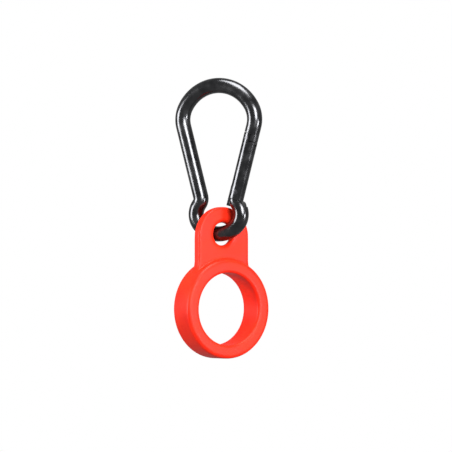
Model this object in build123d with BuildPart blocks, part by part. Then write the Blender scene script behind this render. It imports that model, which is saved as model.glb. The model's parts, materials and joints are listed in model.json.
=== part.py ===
"""Carabiner bottle holder: a silicone neck ring that hangs on a gourd-shaped snap hook with a sprung gate.

Frame: millimetres, +Z up, origin at the inside of the hook's crown, where the hook hangs on a strap or loop.
The hook lies in the XZ plane with its gate on the +X side. The holder hangs turned about the vertical.
"""

from build123d import *
from math import acos, atan2, cos, hypot, radians, sin, sqrt
import os

# Hook: one round rod bent to a gourd outline, given by its centreline
rod_diameter = 5.6
hook_height = 60.0
crown_radius = 14.8
shoulder_radius = 9.8
shoulder_spread = 4.4
waist_half_width = 6.98
waist_radius = 3.2
loop_half_width = 8.9
loop_side_radius = 6.1
loop_rise = 7.2

# Gate: a rod in line with the leg, between the hook's nose and the pivot
pivot_rise = 1.7
nose_drop = 2.7
gate_tail = 2.7
end_gap = 0.2
tail_gap = 0.2
cheek_slot = 2.2
slot_clearance = 0.1

# Nose: an outer strip that the gate closes against, and a hooked tongue that catches the latch pin
strip_offset = 0.6
strip_length = 2.8
strip_gap = 0.2
strip_end_gap = 0.35
latch_pin_diameter = 1.5
latch_pin_drop = 1.9
latch_pin_inset = 0.9
latch_pin_clearance = 0.25
lip_reach = 0.8
lip_height = 0.95
lip_clearance = 0.3
tongue_depth = 2.45
tongue_end_gap = 0.4

# Pivot: a rivet through the gate's cheeks and the hook's tongue, whose end is a cam
rivet_diameter = 1.8
rivet_running_clearance = 0.05
pin_seat_clearance = 0.015
cam_offset = 1.3
cam_radius = 2.4
cam_trim = 0.1
cam_sweep_clearance = 0.3
tongue_wall = 0.9
tail_wall_gap = 0.2
shoulder_flat = 2.4
shoulder_round = 1.5

# Push pin and return spring in the gate's bore
push_pin_diameter = 2.4
push_pin_nose_diameter = 1.6
push_pin_body = 1.5
push_pin_spigot_diameter = 1.5
push_pin_spigot = 1.6
push_pin_clearance = 0.06
cam_clearance = 0.08
spring_wire = 0.35
spring_turns = 7
spring_length = 7.5
spring_clearance = 0.07
spring_end_gap = 0.05

# Silicone holder: a ring for a bottle neck and a tab with a hanging hole
holder_yaw = 57.3
ring_bore = 26.5
ring_wall = 4.95
ring_thickness = 10.4
ring_edge = 1.3
bore_edge = 1.0
tab_width = 22.2
tab_thickness = 3.5
tab_edge = 1.1
hole_side = 1.1
hole_play = 0.1
hole_clearance = 0.5
hole_rounding = 1.65
dome_drop = 1.2
tab_length = 8.0
neck_fillet = 7.0

# Outline of the hook: crown, shoulders, loop sides and loop bottom are circles tangent to each other
rod_radius = rod_diameter / 2
crown_centre = Vector(0, 0, rod_radius - crown_radius)
crown_step = crown_radius - shoulder_radius
shoulder_centre = crown_centre + Vector(shoulder_spread, 0, sqrt(crown_step**2 - shoulder_spread**2))
shoulder_top = crown_centre + (shoulder_centre - crown_centre) * (crown_radius / crown_step)
loop_low = rod_diameter - hook_height + rod_radius
side_centre = Vector(loop_half_width - loop_side_radius, 0, loop_low + loop_rise)
bottom_radius = (side_centre.X**2 + loop_rise**2 - loop_side_radius**2) / (2 * (loop_rise - loop_side_radius))
bottom_centre = Vector(0, 0, loop_low + bottom_radius)
side_low = bottom_centre + (side_centre - bottom_centre) * (bottom_radius / (bottom_radius - loop_side_radius))

# The waist circle lies outside the rod and touches the loop's side; the leg is tangent to it and the shoulder
waist_reach = loop_side_radius + waist_radius
waist_x = waist_half_width + waist_radius
waist_z = side_centre.Z + sqrt(waist_reach**2 - (waist_x - side_centre.X) ** 2)
waist_centre = Vector(waist_x, 0, waist_z)
waist_low = side_centre + (waist_centre - side_centre) * (loop_side_radius / waist_reach)
span = waist_centre - shoulder_centre
leg_tilt = atan2(-span.Z, span.X) - acos((shoulder_radius + waist_radius) / span.length)
leg_out = Vector(cos(leg_tilt), 0, -sin(leg_tilt))
leg_up = Vector(sin(leg_tilt), 0, cos(leg_tilt))
leg_top = shoulder_centre + leg_out * shoulder_radius
waist_top = waist_centre - leg_out * waist_radius
pivot = waist_top + leg_up * pivot_rise


def mirrored(point):
    """The same point on the other side of the hook's centre plane."""
    return Vector(-point.X, point.Y, point.Z)


def beside_pivot(out, up):
    """A point out from the pivot across the gate and up along it."""
    return pivot + leg_out * out + leg_up * up


def across_gate(up):
    """A sketch plane square to the gate, that far above the pivot."""
    return Plane(origin=beside_pivot(0, up), x_dir=leg_out, z_dir=leg_up)


# Heights above the pivot, along the gate
nose_face = (leg_top - pivot).dot(leg_up) - nose_drop
gate_top = nose_face - end_gap
strip_end = nose_face - strip_length
latch_height = nose_face - latch_pin_drop
lip_top = latch_height - latch_pin_diameter / 2 - lip_clearance
lip_end = lip_top - lip_height
nose_slot_floor = lip_end - tongue_end_gap
tongue_thickness = cheek_slot - 2 * slot_clearance
tongue_face = latch_pin_diameter / 2 - latch_pin_inset + latch_pin_clearance
cam_side = rod_radius - cam_trim
tongue_side = rivet_diameter / 2 + tongue_wall
tail_wall = tongue_side + tail_wall_gap
cam_corner = hypot(cam_side, sqrt(cam_radius**2 - (cam_side - cam_offset) ** 2))
tail_slot_top = cam_corner + cam_sweep_clearance
nose_radius = push_pin_nose_diameter / 2
push_pin_tip = sqrt((cam_radius + nose_radius) ** 2 - cam_offset**2) - nose_radius + cam_clearance
push_pin_base = tail_slot_top + cam_clearance
spring_seat = push_pin_base + push_pin_body
bore_end = spring_seat + spring_length
bore_radius = push_pin_diameter / 2 + push_pin_clearance
coil_radius = bore_radius - spring_clearance - spring_wire / 2
rivet_radius = rivet_diameter / 2
latch_pin_radius = latch_pin_diameter / 2

# Sketch plane of the gate, seen from the -Y side: local x is outward and local y is up the leg
gate_plane = Plane(origin=pivot, x_dir=leg_out, z_dir=(0, -1, 0))

# Hook body: the bent rod, with the latch at its nose and the pivot tongue at its other end
with BuildPart() as hook_body:
    with BuildLine() as rod_line:
        Line(beside_pivot(0, strip_end), leg_top)
        TangentArc(leg_top, shoulder_top, tangent=leg_up)
        TangentArc(shoulder_top, mirrored(shoulder_top), tangent=rod_line.line % 1)
        TangentArc(mirrored(shoulder_top), mirrored(leg_top), tangent=rod_line.line % 1)
        Line(mirrored(leg_top), mirrored(waist_top))
        TangentArc(mirrored(waist_top), mirrored(waist_low), tangent=rod_line.line % 1)
        TangentArc(mirrored(waist_low), mirrored(side_low), tangent=rod_line.line % 1)
        TangentArc(mirrored(side_low), side_low, tangent=rod_line.line % 1)
        TangentArc(side_low, waist_low, tangent=rod_line.line % 1)
        TangentArc(waist_low, waist_top, tangent=rod_line.line % 1)
    with BuildSketch(across_gate(strip_end)):
        Circle(rod_radius)
    sweep(path=rod_line.line)

    # The rod's lower end is cut off square under the gate's tail, and rounded over on the outside
    with BuildSketch(gate_plane):
        with BuildLine():
            cut_height = -gate_tail - tail_gap
            cut_side = 2 * rod_radius
            round_end = (shoulder_flat + shoulder_round, cut_height - shoulder_round)
            Polyline((shoulder_flat, cut_height), (-cut_side, cut_height), (-cut_side, 0), (cut_side, 0))
            Polyline((cut_side, 0), (cut_side, round_end[1]), round_end)
            RadiusArc((shoulder_flat, cut_height), round_end, shoulder_round)
        make_face()
    extrude(amount=rod_diameter, both=True, mode=Mode.SUBTRACT)

    # Pivot tongue, with its cam towards the inside of the hook
    with BuildSketch(gate_plane):
        with Locations((-cam_offset, 0)):
            Circle(cam_radius)
        Circle(tongue_side)
        with Locations((tongue_side, cut_height - rod_radius)):
            Rectangle(tongue_side + cam_side, rod_radius - cut_height, align=(Align.MAX, Align.MIN))
        Rectangle(2 * cam_side, 4 * rod_diameter, mode=Mode.INTERSECT)
    extrude(amount=tongue_thickness / 2, both=True)
    with BuildSketch(gate_plane):
        Circle(rivet_radius + rivet_running_clearance)
    extrude(amount=rod_diameter, both=True, mode=Mode.SUBTRACT)

    # The nose is cut back to an outer strip, which the gate closes against
    with BuildSketch(gate_plane):
        with Locations((strip_offset, nose_face)):
            Rectangle(rod_diameter, rod_diameter, align=(Align.MAX, Align.MAX))
    extrude(amount=rod_diameter, both=True, mode=Mode.SUBTRACT)

    # Hooked tongue in the middle of the nose
    with BuildSketch(gate_plane):
        with Locations((tongue_face, lip_end)):
            Rectangle(tongue_depth, nose_face - lip_end + end_gap, align=(Align.MIN, Align.MIN))
        with Locations((-latch_pin_inset - lip_reach, lip_end)):
            Rectangle(latch_pin_inset + lip_reach + tongue_face + end_gap, lip_height, align=(Align.MIN, Align.MIN))
    extrude(amount=tongue_thickness / 2, both=True)
hook_body.part.label = "hook_body"

# Gate: a round rod with a slot in each end, holes for both pins, and a blind bore for the spring
with BuildPart() as gate:
    with BuildSketch(across_gate(-gate_tail)):
        Circle(rod_radius)
    extrude(amount=gate_tail + gate_top)

    # The tail is round about the pivot on the inside and nearly square on the outside
    with BuildSketch(gate_plane):
        Rectangle(2 * rod_diameter, 2 * gate_tail)
        Circle(gate_tail, mode=Mode.SUBTRACT)
        Rectangle(2 * rod_diameter, 2 * gate_tail, align=(Align.CENTER, Align.MIN), mode=Mode.SUBTRACT)
        with Locations((0, -gate_tail)):
            Rectangle(rod_diameter, gate_tail, align=(Align.MIN, Align.MIN), mode=Mode.SUBTRACT)
    extrude(amount=rod_diameter, both=True, mode=Mode.SUBTRACT)

    # Room for the nose strip
    with BuildSketch(gate_plane):
        with Locations((strip_offset - strip_gap, strip_end - strip_end_gap)):
            Rectangle(rod_diameter, gate_top, align=(Align.MIN, Align.MIN))
    extrude(amount=rod_diameter, both=True, mode=Mode.SUBTRACT)

    # Slots between the cheeks at both ends; the lower one stays closed on the outside
    with BuildSketch(gate_plane):
        with Locations((0, nose_slot_floor)):
            Rectangle(2 * rod_diameter, gate_top, align=(Align.CENTER, Align.MIN))
        with Locations((tail_wall, tail_slot_top)):
            Rectangle(2 * rod_diameter, 2 * tail_slot_top, align=(Align.MAX, Align.MAX))
    extrude(amount=cheek_slot / 2, both=True, mode=Mode.SUBTRACT)

    # Bore for the push pin and its spring, drilled from the tail
    with BuildSketch(across_gate(tail_slot_top - end_gap)):
        Circle(bore_radius)
    extrude(amount=bore_end - tail_slot_top + end_gap, mode=Mode.SUBTRACT)

    # Cross holes for the rivet and the latch pin
    with BuildSketch(gate_plane):
        Circle(rivet_radius + pin_seat_clearance)
        with Locations((-latch_pin_inset, latch_height)):
            Circle(latch_pin_radius + pin_seat_clearance)
    extrude(amount=rod_diameter, both=True, mode=Mode.SUBTRACT)
gate.part.label = "gate"


def cross_pin(radius, out, up):
    """A pin through the gate from side to side, ground flush with its round surface."""
    with BuildPart() as pin:
        with BuildSketch(gate_plane):
            with Locations((out, up)):
                Circle(radius)
        extrude(amount=rod_diameter, both=True)
        with BuildSketch(across_gate(up - rod_diameter)):
            Circle(rod_radius)
        extrude(amount=2 * rod_diameter, mode=Mode.INTERSECT)
    return pin.part


pivot_rivet = cross_pin(rivet_radius, 0, 0)
pivot_rivet.label = "pivot_rivet"
latch_pin = cross_pin(latch_pin_radius, -latch_pin_inset, latch_height)
latch_pin.label = "latch_pin"

# Push pin: a round nose on the cam, a guided body, and a spigot inside the spring
with BuildPart() as push_pin:
    with BuildSketch(gate_plane):
        with BuildLine():
            Line((0, push_pin_tip), (0, spring_seat + push_pin_spigot))
            Polyline(
                (0, spring_seat + push_pin_spigot),
                (push_pin_spigot_diameter / 2, spring_seat + push_pin_spigot),
                (push_pin_spigot_diameter / 2, spring_seat),
                (push_pin_diameter / 2, spring_seat),
                (push_pin_diameter / 2, push_pin_base),
                (nose_radius, push_pin_base),
                (nose_radius, push_pin_tip + nose_radius),
            )
            RadiusArc((nose_radius, push_pin_tip + nose_radius), (0, push_pin_tip), nose_radius)
        make_face()
    revolve(axis=Axis(pivot, leg_up))
push_pin.part.label = "push_pin"

# Return spring: a coil between the push pin's body and the blind end of the bore
with BuildPart() as return_spring:
    coil_height = spring_length - 2 * spring_end_gap - spring_wire
    coil_start = beside_pivot(0, spring_seat + spring_end_gap + spring_wire / 2)
    with BuildLine() as coil:
        Helix(coil_height / spring_turns, coil_height, coil_radius, center=coil_start, direction=leg_up)
    with BuildSketch(Plane(origin=coil.line @ 0, z_dir=coil.line % 0)):
        Circle(spring_wire / 2)
    sweep(path=coil.line, is_frenet=True)
return_spring.part.label = "return_spring"

# Bottle holder: ring and tab moulded in one, with the hanging hole on the loop's rod
hole_tilt = radians(90 - holder_yaw)
hole_height = bottom_centre.Z - sqrt(bottom_radius**2 - hole_side**2) - hole_play
hole_centre = Vector(hole_side, 0, hole_height)
hole_radius = (hole_rounding + rod_radius) / cos(hole_tilt) - hole_rounding + hole_clearance
holder_normal = Vector(sin(radians(holder_yaw)), -cos(radians(holder_yaw)), 0)
holder_right = Vector(cos(radians(holder_yaw)), sin(radians(holder_yaw)), 0)
holder_plane = Plane(origin=hole_centre, x_dir=holder_right, z_dir=holder_normal)
ring_radius = ring_bore / 2 + ring_wall
ring_height = -dome_drop - tab_length - ring_radius


def rim_edges(piece, radius):
    """The round edges of that radius on a piece."""
    return piece.edges().filter_by(GeomType.CIRCLE).filter_by(lambda edge: abs(edge.radius - radius) < 0.001)


with BuildPart() as bottle_holder:
    with BuildSketch(holder_plane) as web:
        with Locations((0, -dome_drop)):
            Circle(tab_width / 2)
        with Locations((0, ring_height)):
            Rectangle(tab_width, -dome_drop - ring_height, align=(Align.CENTER, Align.MIN))
            Circle(ring_radius)
        corners = web.vertices().filter_by(lambda v: abs(abs(v.X) - tab_width / 2) < 0.01)
        fillet(corners.filter_by(lambda v: v.Y < -dome_drop - 1), neck_fillet)
    extrude(amount=tab_thickness / 2, both=True)
    faces_and_back = bottle_holder.faces().filter_by(Axis(hole_centre, holder_normal))
    fillet(faces_and_back.edges(), tab_edge)
    with BuildSketch(holder_plane):
        with Locations((0, ring_height)):
            Circle(ring_radius)
    extrude(amount=ring_thickness / 2, both=True)
    ring_faces = bottle_holder.faces().filter_by(Axis(hole_centre, holder_normal)).sort_by(SortBy.AREA)[-2:]
    fillet(ring_faces.edges(), ring_edge)

    # Bore for the bottle's neck and rounded hole for the rod
    with BuildSketch(holder_plane):
        with Locations((0, ring_height)):
            Circle(ring_bore / 2)
    extrude(amount=ring_thickness, both=True, mode=Mode.SUBTRACT)
    fillet(rim_edges(bottle_holder, ring_bore / 2), bore_edge)
    with BuildSketch(holder_plane):
        Circle(hole_radius)
    extrude(amount=ring_thickness, both=True, mode=Mode.SUBTRACT)
    fillet(rim_edges(bottle_holder, hole_radius), hole_rounding)
bottle_holder.part.label = "bottle_holder"

os.makedirs("parts", exist_ok=True)
export_step(hook_body.part, "parts/hook_body.step")
export_step(gate.part, "parts/gate.step")
export_step(pivot_rivet, "parts/pivot_rivet.step")
export_step(latch_pin, "parts/latch_pin.step")
export_step(push_pin.part, "parts/push_pin.step")
export_step(return_spring.part, "parts/return_spring.step")
export_step(bottle_holder.part, "parts/bottle_holder.step")
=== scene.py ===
# %% [markdown]
# # Carabiner bottle holder
# A silicone ring grips a bottle under the ledge of its neck, and its tab hangs on a small snap hook.
# The metal pieces come from the CAD frame with their exact shapes, so here they only get a finish.
# The soft silicone moulding is modelled again, because its rounded edges and creases are what the eye reads.

# %% Load the frame
import json
import math

import bmesh
import bpy
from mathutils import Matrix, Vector


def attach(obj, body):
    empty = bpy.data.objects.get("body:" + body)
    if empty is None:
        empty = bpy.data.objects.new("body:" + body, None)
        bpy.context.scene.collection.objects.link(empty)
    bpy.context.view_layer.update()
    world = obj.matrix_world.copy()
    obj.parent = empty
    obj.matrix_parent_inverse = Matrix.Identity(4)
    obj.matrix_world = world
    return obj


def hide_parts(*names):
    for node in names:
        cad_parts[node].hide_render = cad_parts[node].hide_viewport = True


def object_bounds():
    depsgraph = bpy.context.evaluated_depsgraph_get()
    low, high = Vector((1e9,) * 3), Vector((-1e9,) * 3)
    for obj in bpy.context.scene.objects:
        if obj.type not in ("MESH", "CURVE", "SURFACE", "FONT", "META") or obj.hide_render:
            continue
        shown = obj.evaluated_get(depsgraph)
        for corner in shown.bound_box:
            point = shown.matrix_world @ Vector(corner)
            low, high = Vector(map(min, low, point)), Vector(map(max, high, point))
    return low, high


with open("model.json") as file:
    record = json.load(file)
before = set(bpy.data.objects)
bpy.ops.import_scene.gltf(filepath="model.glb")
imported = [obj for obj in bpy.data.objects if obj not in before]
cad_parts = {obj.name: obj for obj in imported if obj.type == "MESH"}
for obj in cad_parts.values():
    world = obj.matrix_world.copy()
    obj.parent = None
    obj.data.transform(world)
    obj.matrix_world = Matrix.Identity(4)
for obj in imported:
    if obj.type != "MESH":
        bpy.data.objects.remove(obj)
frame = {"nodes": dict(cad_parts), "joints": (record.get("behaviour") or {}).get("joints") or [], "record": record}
cad_low, cad_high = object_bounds()
joints = {joint["name"]: joint for joint in frame["joints"]}
mounts = {mount["name"]: mount for mount in frame["record"]["mounts"]}
hole = Vector(joints["holder_swing"]["pos_m"])
ring_centre = Vector(mounts["bottle_bore"]["pos_m"])
ring_normal = Vector(mounts["bottle_bore"]["axis"]).normalized()
bore_radius = mounts["bottle_bore"]["dims"]["r_mm"] / 1000
print("hole", tuple(hole), "ring", tuple(ring_centre), "normal", tuple(ring_normal))

# %% [markdown]
# ## Camera
# A long lens keeps the ring round and the hook's legs even, as a catalogue picture does.
# The camera is placed by the direction that it looks in and by the point that it looks at.

# %% Camera
MM = 0.001
VIEW_AZIMUTH = math.radians(22)
CAMERA_DISTANCE = 1.6
VIEW_HEIGHT = 0.16566
AIM_SIDE = 2.7 * MM
AIM_HEIGHT = -48.7 * MM

right = Vector((math.cos(VIEW_AZIMUTH), math.sin(VIEW_AZIMUTH), 0))
back = Vector((math.sin(VIEW_AZIMUTH), -math.cos(VIEW_AZIMUTH), 0))
aim = right * AIM_SIDE + Vector((0, 0, AIM_HEIGHT))
camera_data = bpy.data.cameras.new("camera")
camera_data.sensor_width = 36
camera_data.lens = camera_data.sensor_width * CAMERA_DISTANCE / VIEW_HEIGHT
camera_data.clip_start = 0.01
camera = bpy.data.objects.new("camera", camera_data)
bpy.context.collection.objects.link(camera)
camera.location = aim + back * CAMERA_DISTANCE
camera.rotation_euler = (math.radians(90), 0, VIEW_AZIMUTH)
bpy.context.scene.camera = camera
print("lens", round(camera_data.lens), "mm")

# %% [markdown]
# ## Helpers for shaping
# Every operator works on what is selected, and the frame's own meshes arrive selected.
# So each new piece starts by clearing the selection.

# %% Selection helpers


def start_clean():
    """Nothing selected, and object mode on."""
    if bpy.context.object and bpy.context.object.mode != "OBJECT":
        bpy.ops.object.mode_set(mode="OBJECT")
    bpy.ops.object.select_all(action="DESELECT")


def pick(piece):
    """Only this piece selected and active."""
    start_clean()
    piece.select_set(True)
    bpy.context.view_layer.objects.active = piece


def settle(piece, name):
    """The piece's place goes into its mesh, and it gets its name."""
    pick(piece)
    bpy.ops.object.transform_apply(location=True, rotation=True, scale=True)
    piece.name = name
    piece.data.name = name
    return piece


def finish_modifiers(piece):
    """Applies every modifier, first to last."""
    pick(piece)
    for modifier in list(piece.modifiers):
        bpy.ops.object.modifier_apply(modifier=modifier.name)


def triangles(piece):
    """How many triangles the piece has."""
    piece.data.calc_loop_triangles()
    return len(piece.data.loop_triangles)


# %% [markdown]
# ## Shared surface effect
# Moulded silicone and drawn metal both have a fine, uneven surface that breaks up a highlight.
# One node group makes two noises from the object's own coordinates, so each material can use them at its scale.

# %% Node helpers and the uneven-surface group


def add_node(tree, kind, **settings):
    """A node of that kind, with its plain settings."""
    node = tree.nodes.new(kind)
    for key, value in settings.items():
        setattr(node, key, value)
    return node


def uneven_surface_group():
    """Group: a broad mask for colour and gloss, and a fine height for bump."""
    tree = bpy.data.node_groups.new("uneven_surface", "ShaderNodeTree")
    tree.interface.new_socket("Broad Scale", in_out="INPUT", socket_type="NodeSocketFloat")
    tree.interface.new_socket("Fine Scale", in_out="INPUT", socket_type="NodeSocketFloat")
    tree.interface.new_socket("Broad", in_out="OUTPUT", socket_type="NodeSocketFloat")
    tree.interface.new_socket("Height", in_out="OUTPUT", socket_type="NodeSocketFloat")
    inputs = add_node(tree, "NodeGroupInput")
    outputs = add_node(tree, "NodeGroupOutput")
    place = add_node(tree, "ShaderNodeTexCoord")
    broad = add_node(tree, "ShaderNodeTexNoise")
    broad.inputs["Detail"].default_value = 3
    fine = add_node(tree, "ShaderNodeTexNoise")
    fine.inputs["Detail"].default_value = 2
    for noise, scale in ((broad, "Broad Scale"), (fine, "Fine Scale")):
        tree.links.new(place.outputs["Object"], noise.inputs["Vector"])
        tree.links.new(inputs.outputs[scale], noise.inputs["Scale"])
    tree.links.new(broad.outputs["Fac"], outputs.inputs["Broad"])
    tree.links.new(fine.outputs["Fac"], outputs.inputs["Height"])
    return tree


uneven_surface = uneven_surface_group()


def base_material(name, broad_scale, fine_scale, roughness, bump):
    """A Principled material whose gloss and bump come from the uneven-surface group."""
    material = bpy.data.materials.new(name)
    material.use_nodes = True
    tree = material.node_tree
    shader = tree.nodes["Principled BSDF"]
    surface = add_node(tree, "ShaderNodeGroup", node_tree=uneven_surface)
    surface.inputs["Broad Scale"].default_value = broad_scale
    surface.inputs["Fine Scale"].default_value = fine_scale
    gloss = add_node(tree, "ShaderNodeMapRange")
    gloss.inputs["From Min"].default_value = 0.3
    gloss.inputs["From Max"].default_value = 0.7
    gloss.inputs["To Min"].default_value = roughness[0]
    gloss.inputs["To Max"].default_value = roughness[1]
    tree.links.new(surface.outputs["Broad"], gloss.inputs["Value"])
    tree.links.new(gloss.outputs["Result"], shader.inputs["Roughness"])
    relief = add_node(tree, "ShaderNodeBump")
    relief.inputs["Strength"].default_value = bump
    relief.inputs["Distance"].default_value = 0.05 * MM
    tree.links.new(surface.outputs["Height"], relief.inputs["Height"])
    tree.links.new(relief.outputs["Normal"], shader.inputs["Normal"])
    return material, tree, shader, surface


def two_tones(tree, shader, surface, dark, light):
    """Base colour that drifts between two tones with the broad mask."""
    ramp = add_node(tree, "ShaderNodeValToRGB")
    ramp.color_ramp.elements[0].position = 0.35
    ramp.color_ramp.elements[0].color = (*dark, 1)
    ramp.color_ramp.elements[1].position = 0.65
    ramp.color_ramp.elements[1].color = (*light, 1)
    tree.links.new(surface.outputs["Broad"], ramp.inputs["Fac"])
    tree.links.new(ramp.outputs["Color"], shader.inputs["Base Color"])


# %% [markdown]
# ## Metal finishes
# The hook is taken to be aluminium with a dark gunmetal plating: nearly black face on, bright at the edges.
# A dark metallic base does that by itself, because every metal reflects fully at a grazing angle.

# %% Gunmetal, pin steel and spring steel
gunmetal, tree, shader, surface = base_material("gunmetal_plating", 260, 5200, (0.16, 0.30), 0.25)
shader.inputs["Metallic"].default_value = 1
two_tones(tree, shader, surface, (0.050, 0.051, 0.055), (0.095, 0.096, 0.101))
shader.inputs["Coat Weight"].default_value = 0.35
shader.inputs["Coat Roughness"].default_value = 0.12

pin_steel, tree, shader, surface = base_material("ground_steel", 500, 9000, (0.28, 0.42), 0.2)
shader.inputs["Metallic"].default_value = 1
two_tones(tree, shader, surface, (0.09, 0.09, 0.10), (0.15, 0.15, 0.16))

spring_steel, tree, shader, surface = base_material("spring_wire", 900, 12000, (0.2, 0.32), 0.1)
shader.inputs["Metallic"].default_value = 1
two_tones(tree, shader, surface, (0.34, 0.34, 0.34), (0.46, 0.46, 0.46))

finishes = {
    "hook_body": gunmetal,
    "gate": gunmetal,
    "pivot_rivet": pin_steel,
    "latch_pin": pin_steel,
    "push_pin": pin_steel,
    "return_spring": spring_steel,
}
for node, finish in finishes.items():
    slots = frame["nodes"][node].data.materials
    slots.clear()
    slots.append(finish)
print("metal finishes on", len(finishes), "pieces")

# %% [markdown]
# ## Silicone finish
# Moulded silicone is satin: a soft highlight along each rounded edge, a little light carried under the surface,
# and a slightly uneven gloss. A little subsurface weight and the shared noises give all three.

# %% Red silicone
silicone, tree, shader, surface = base_material("red_silicone", 120, 6500, (0.38, 0.5), 0.12)
two_tones(tree, shader, surface, (0.86, 0.016, 0.003), (0.94, 0.024, 0.004))
shader.inputs["Specular IOR Level"].default_value = 0.25
shader.inputs["Subsurface Weight"].default_value = 0.08
shader.inputs["Subsurface Radius"].default_value = (1.0, 0.2, 0.1)
shader.inputs["Subsurface Scale"].default_value = 0.6 * MM

# %% [markdown]
# ## Silicone holder
# The real piece is one moulding: a thick ring with rounded rims and a thinner tab with a domed end.
# It could be one block cut to shape, but the ring is a spun shape and the tab a plate, so each starts as itself.
# They are joined by a boolean, the hanging hole is cut with a spun spool that rounds its rims, and a voxel
# remesh with some smoothing melts the seams together as the mould does.

# %% Sizes of the holder
RING_RADIUS = 18.2 * MM
RING_HALF = 5.2 * MM
RIM_ROUND = 1.3 * MM
BORE_ROUND = 1.0 * MM
TAB_HALF_WIDTH = 11.1 * MM
TAB_HALF = 1.75 * MM
TAB_ROUND = 1.1 * MM
DOME_DROP = 1.2 * MM
NECK_FILLET = 7.0 * MM
HOLE_ROUND = 1.65 * MM
HOLE_RADIUS = 4.14 * MM
PLUG_HALF = 1.5 * TAB_HALF
VOXEL = 0.3 * MM
RING_STEPS = 128
HOLE_STEPS = 64
DOME_STEPS = 24
TOUCH = 0.01 * MM
ring_drop = hole.z - ring_centre.z
dome_top = ring_drop - DOME_DROP + TAB_HALF_WIDTH


def corner_arc(centre, radius, start, end, steps):
    """Points of an arc in the profile plane, from one angle in degrees to the other."""
    angles = [math.radians(start + (end - start) * i / steps) for i in range(steps + 1)]
    return [(centre[0] + radius * math.cos(a), centre[1] + radius * math.sin(a)) for a in angles]


def spun(name, profile, steps):
    """A closed profile of (radius, depth) points, spun round the Y axis."""
    start_clean()
    bpy.ops.mesh.primitive_circle_add(vertices=len(profile), radius=1)
    piece = bpy.context.object
    for vertex, (radius, depth) in zip(piece.data.vertices, profile):
        vertex.co = (radius, depth, 0)
    bpy.ops.object.mode_set(mode="EDIT")
    bpy.ops.mesh.select_all(action="SELECT")
    bpy.ops.mesh.spin(steps=steps, angle=math.tau, center=(0, 0, 0), axis=(0, 1, 0))
    bpy.ops.mesh.select_all(action="SELECT")
    bpy.ops.mesh.remove_doubles(threshold=0.001 * MM)
    bpy.ops.mesh.normals_make_consistent(inside=False)
    bpy.ops.object.mode_set(mode="OBJECT")
    piece.name = name
    return piece


# %% Ring, spun from its rounded section
outer, inner = RING_RADIUS - RIM_ROUND, bore_radius + BORE_ROUND
section = corner_arc((outer, RING_HALF - RIM_ROUND), RIM_ROUND, 0, 90, 6)
section += corner_arc((inner, RING_HALF - BORE_ROUND), BORE_ROUND, 90, 180, 6)
section += corner_arc((inner, BORE_ROUND - RING_HALF), BORE_ROUND, 180, 270, 6)
section += corner_arc((outer, RIM_ROUND - RING_HALF), RIM_ROUND, 270, 360, 6)
holder = spun("bottle_ring_and_tab", section, RING_STEPS)
print("ring", len(holder.data.vertices), "points")

# %% [markdown]
# ### Tab
# The tab starts as a cube of its own size. Bevelling its two top corners by half its width makes the dome,
# its foot is extruded down in a few steps that flare out to meet the ring, and a small bevel rounds the rest.

# %% Tab
start_clean()
flare_z = math.sqrt((RING_RADIUS + NECK_FILLET) ** 2 - (TAB_HALF_WIDTH + NECK_FILLET) ** 2)
bpy.ops.mesh.primitive_cube_add(size=1, location=(0, 0, (dome_top + flare_z) / 2))
tab = bpy.context.object
tab.scale = (2 * TAB_HALF_WIDTH, 2 * TAB_HALF, dome_top - flare_z)
settle(tab, "tab")
bpy.ops.object.mode_set(mode="EDIT")
mesh = bmesh.from_edit_mesh(tab.data)
bpy.ops.mesh.select_all(action="DESELECT")
bpy.ops.mesh.select_mode(type="FACE")
for face in mesh.faces:
    face.select = face.normal.z < -0.9
bmesh.update_edit_mesh(tab.data)
FLARE_STEPS = 8
flare_turn = math.atan2(flare_z, TAB_HALF_WIDTH + NECK_FILLET)
last_width, last_z = TAB_HALF_WIDTH, flare_z
for step in range(1, FLARE_STEPS + 1):
    turn = flare_turn * step / FLARE_STEPS
    width = TAB_HALF_WIDTH + NECK_FILLET * (1 - math.cos(turn))
    height = flare_z - NECK_FILLET * math.sin(turn)
    bpy.ops.mesh.extrude_region_move(TRANSFORM_OT_translate={"value": (0, 0, height - last_z)})
    bpy.ops.transform.resize(value=(width / last_width, 1, 1))
    last_width, last_z = width, height
bpy.ops.object.mode_set(mode="OBJECT")
mesh = bmesh.new()
mesh.from_mesh(tab.data)
DOME_SHARE = 0.999
top_edges = [e for e in mesh.edges if all(v.co.z > dome_top - TOUCH for v in e.verts) and e.is_manifold]
top_edges = [e for e in top_edges if abs(e.verts[0].co.x - e.verts[1].co.x) < TOUCH]
dome = TAB_HALF_WIDTH * DOME_SHARE
bmesh.ops.bevel(mesh, geom=top_edges, offset=dome, segments=DOME_STEPS, profile=0.5, affect="EDGES")
mesh.to_mesh(tab.data)
mesh.free()
rounding = tab.modifiers.new("edge rounding", "BEVEL")
rounding.width = TAB_ROUND
rounding.segments = 5
rounding.limit_method = "ANGLE"
rounding.angle_limit = math.radians(60)
finish_modifiers(tab)
print("tab", len(tab.data.vertices), "points")

# %% [markdown]
# ### Join, hole and melt
# The spool is wider at both ends than in the middle, by the rounding of the hole's rims.
# The tab's flared foot reaches a little into the bore, so a short plain plug clears that away.

# %% Hanging hole
flat = TAB_HALF - HOLE_ROUND
wide = HOLE_RADIUS + HOLE_ROUND
spool = [(0, 2 * TAB_HALF), (wide, 2 * TAB_HALF)]
spool += corner_arc((wide, flat), HOLE_ROUND, 90, 180, 8)
spool += corner_arc((wide, -flat), HOLE_ROUND, 180, 270, 8)
spool += [(wide, -2 * TAB_HALF), (0, -2 * TAB_HALF)]
cutter = spun("hole_spool", spool, HOLE_STEPS)
cutter.location = (0, 0, ring_drop)
settle(cutter, "hole_spool")

plug_section = [(0, PLUG_HALF), (bore_radius, PLUG_HALF), (bore_radius, -PLUG_HALF), (0, -PLUG_HALF)]
plug = spun("bore_plug", plug_section, RING_STEPS)

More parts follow.
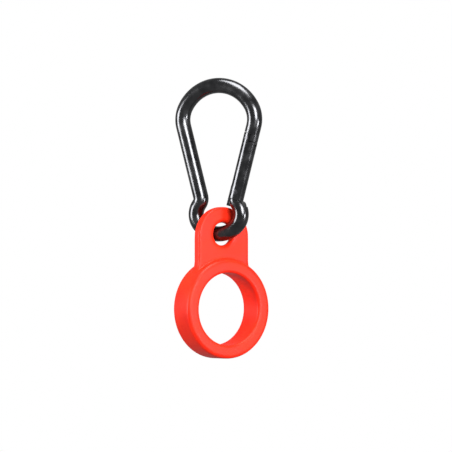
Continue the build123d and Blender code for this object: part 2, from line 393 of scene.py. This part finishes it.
for other, operation in ((tab, "UNION"), (plug, "DIFFERENCE"), (cutter, "DIFFERENCE")):
    joint = holder.modifiers.new("join", "BOOLEAN")
    joint.operation = operation
    joint.object = other
    joint.solver = "EXACT"
finish_modifiers(holder)
for other in (tab, plug, cutter):
    bpy.data.objects.remove(other)

# %% Melt the seams and turn it into place
melt = holder.modifiers.new("melt", "REMESH")
melt.mode = "VOXEL"
melt.voxel_size = VOXEL
melt.use_smooth_shade = True
soften = holder.modifiers.new("soften", "SMOOTH")
soften.factor = 0.5
soften.iterations = 8
finish_modifiers(holder)
holder.rotation_euler = (0, 0, math.atan2(ring_normal.x, -ring_normal.y))
holder.location = ring_centre
settle(holder, "bottle_ring_and_tab")
holder.data.materials.clear()
holder.data.materials.append(silicone)
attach(holder, "holder")
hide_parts("bottle_holder")
print("holder", triangles(holder), "triangles")

# %% [markdown]
# ## Floor and light
# A catalogue picture has a pure white ground, but metal that mirrors only white looks flat and pale.
# So the ground is white to the camera alone, by the Light Path node, while the object sees a dimmer surround.
# Four soft lamps, above, in front, at the left and low at the right, then draw bright lines along the rod.

# %% White to the camera, dimmer to the object
GROUND_RADIUS = 4
GROUND_DROP = 50 * MM
SURROUND = 0.30


def white_to_camera(tree, kind, output, strength):
    """An emission that is white in the camera's view and dimmer for every other ray."""
    tree.nodes.clear()
    path = add_node(tree, "ShaderNodeLightPath")
    level = add_node(tree, "ShaderNodeMapRange")
    level.inputs["To Min"].default_value = strength
    level.inputs["To Max"].default_value = 1
    glow = add_node(tree, kind)
    glow.inputs["Color"].default_value = (1, 1, 1, 1)
    end = add_node(tree, output)
    tree.links.new(path.outputs["Is Camera Ray"], level.inputs["Value"])
    tree.links.new(level.outputs["Result"], glow.inputs["Strength"])
    tree.links.new(glow.outputs[0], end.inputs["Surface"])


start_clean()
ground_place = (0, 0, cad_low.z - GROUND_DROP)
bpy.ops.mesh.primitive_circle_add(vertices=96, radius=GROUND_RADIUS, fill_type="NGON", location=ground_place)
floor = bpy.context.object
floor.name = "floor"
floor_paint = bpy.data.materials.new("pale_floor")
floor_paint.use_nodes = True
white_to_camera(floor_paint.node_tree, "ShaderNodeEmission", "ShaderNodeOutputMaterial", SURROUND)
floor.data.materials.append(floor_paint)
world = bpy.data.worlds.new("white_surround")
world.use_nodes = True
white_to_camera(world.node_tree, "ShaderNodeBackground", "ShaderNodeOutputWorld", SURROUND)
bpy.context.scene.world = world
bpy.context.scene.view_settings.view_transform = "Standard"

# %% Lights


def lamp(name, place, size, power):
    """A square soft lamp that faces the middle of the object."""
    data = bpy.data.lights.new(name, "AREA")
    data.size = size
    data.energy = power
    light = bpy.data.objects.new(name, data)
    bpy.context.collection.objects.link(light)
    light.location = place
    light.rotation_euler = (Vector((0, 0, AIM_HEIGHT)) - Vector(place)).to_track_quat("-Z", "Y").to_euler()


lamp("top_lamp", (0.1, -0.15, 0.7), 0.5, 8)
lamp("front_lamp", tuple(back * 1.0 + right * 0.45 + Vector((0, 0, 0.25))), 0.5, 14)
lamp("left_lamp", tuple(right * -0.8 + back * 0.15), 0.35, 5)
lamp("low_lamp", tuple(right * 0.5 + back * 0.3 + Vector((0, 0, -0.11))), 0.12, 1.5)
